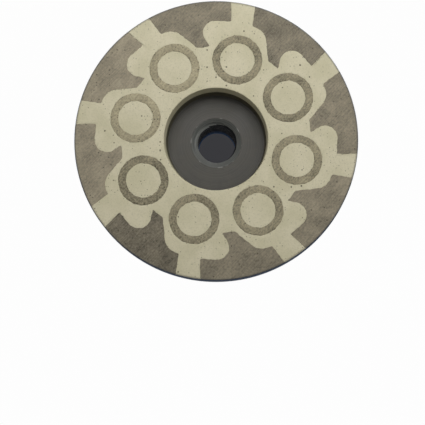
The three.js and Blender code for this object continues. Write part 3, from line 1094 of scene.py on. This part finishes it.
# %% Material: cream resin
resin_material, tree, shader, _ = plain_material("cream_resin", (0.6, 0.56, 0.4), 0.55)
place = millimetres(tree)
cloud = noise(tree, place, 0.12, 4.0, 0.6)
dust = noise(tree, place, 1.7, 3.0, 0.7)
colour = blend(tree, fade(tree, cloud, 0.3, 0.7), CREAM_DARK, CREAM_LIGHT)
colour = blend(tree, fade(tree, dust, 0.45, 0.75, 0.0, 0.5), colour, CREAM_DUST)
border = add(tree, "Attribute", attribute_name="border").outputs["Fac"]
clump = fade(tree, noise(tree, place, 0.14, 2.0), 0.42, 0.62, 0.05, 0.34)
radius_mm, _ = axis_distance(tree, place)
near_recess = fade(tree, radius_mm, RECESS + 2.5, RECESS, 0.0, 0.5)
near_border = times(tree, border, 0.6)
many = calc(tree, "MAXIMUM", clump, near_recess, near_border)
small = use(tree, pits, spacing=1.05, radius=0.16, share=many)["Mask"]
large = use(tree, pits, spacing=3.3, radius=0.26, share=0.15)["Mask"]
small, large = times(tree, small, 0.65), times(tree, large, 0.9)
pitted = calc(tree, "MAXIMUM", small, large)
lines = use(tree, scratches)["Value"]
finish_face(
    tree, shader,
    colour=blend(tree, pitted, colour, RESIN_PIT),
    roughness=fade(tree, dust, 0.3, 0.7, 0.5, 0.66),
    metallic=0.0,
    relief=calc(tree, "SUBTRACT", times(tree, lines, 0.2), pitted),
    depth=0.1 * MM,
    coat_relief=0.15,
)

# %% [markdown]
# ### Sintered bonds
# Segments and rings are metal powder with diamond grit in it. Both are brown-grey and grainy. Each
# piece carries a tint of its own in an attribute: partly because no two came out of the furnace
# quite alike, partly as painted sheen and shade, lighter for pieces at the upper left and left and
# darker at the lower left, as the light falls.

# %% Material: sintered bond


def sintered(name, dark, light, grit):
    """A bond between two colours, with a share of grit in it, shaded by the piece's tint,
    which also holds painted sheen and shade.
    """
    material, tree, shader, _ = plain_material(name, (0.25, 0.22, 0.16), 0.65)
    texture = use(tree, grain)
    lines = use(tree, scratches)["Value"]
    tint = add(tree, "Attribute", attribute_name="tint").outputs["Fac"]
    border = add(tree, "Attribute", attribute_name="border").outputs["Fac"]
    mottle = calc(
        tree, "ADD",
        times(tree, texture["Value"], grit),
        times(tree, texture["Soft"], 0.27),
        times(tree, lines, 0.18),
        tint,
    )
    many = fade(tree, border, 0.0, 1.0, 0.05, 0.75)
    torn = use(tree, pits, spacing=0.9, radius=0.23, share=many)["Mask"]
    stained = times(tree, torn, 0.75)
    rough_grain = times(tree, texture["Value"], 0.6)
    relief = calc(tree, "ADD", rough_grain, times(tree, lines, 0.3))
    finish_face(
        tree, shader,
        colour=blend(tree, stained, blend(tree, mottle, dark, light), BOND_PIT),
        roughness=fade(tree, texture["Value"], 0.0, 1.0, 0.5, 0.7),
        metallic=0.35,
        relief=calc(tree, "SUBTRACT", relief, torn),
        depth=0.08 * MM,
        coat_relief=0.2,
    )
    return material


segment_material = sintered("sintered_rim_bond", SEGMENT_DARK, SEGMENT_LIGHT, grit=0.34)
ring_material = sintered("sintered_ring_bond", RING_DARK, RING_LIGHT, grit=0.52)
print("bonds:", segment_material.name, ring_material.name)

# %% Shade the pieces
# Painted sheen and shade: on top of each piece's own shade, the tints are lighter at the upper
# left and left and darker at the lower left, as the light falls.
SEGMENT_TINTS_AND_SHEEN = (-0.095, -0.065, 0.16, 0.175, -0.14, 0.0, 0.065, 0.01)
RING_TINTS_AND_SHEEN = (-0.05, -0.04, 0.15, 0.19, -0.085, -0.02, 0.03, 0.035)


def set_tint(piece, value):
    """Gives every point of a piece the same tint."""
    tint = piece.data.attributes.new("tint", "FLOAT", "POINT")
    tint.data.foreach_set("value", np.full(len(piece.data.vertices), value, np.float32))


for k in range(SECTORS):
    segments[k].data.materials.append(segment_material)
    rings[k].data.materials.append(ring_material)
    cores[k].data.materials.append(resin_material)
    set_tint(segments[k], SEGMENT_TINTS_AND_SHEEN[k])
    set_tint(rings[k], RING_TINTS_AND_SHEEN[k])
resin.data.materials.append(resin_material)
print("tints of the segments:", SEGMENT_TINTS_AND_SHEEN)

# %% [markdown]
# ## Join the frame
#
# The wheel has no moving parts, so every piece rides on the one body. Each stands for its own CAD
# solid.

# %% Ride and replace
pieces = [(body, "steel_body", "blue_paint"), (resin, "resin_fill", "cream_resin")]
for k in range(SECTORS):
    pieces += [
        (segments[k], f"rim_segment_{k + 1}", "rim_bond"),
        (rings[k], f"ring_segment_{k + 1}", "ring_bond"),
        (cores[k], f"ring_core_{k + 1}", "cream_resin"),
    ]
for piece, node, slot in pieces:
    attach(piece, "root")
    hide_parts(node)
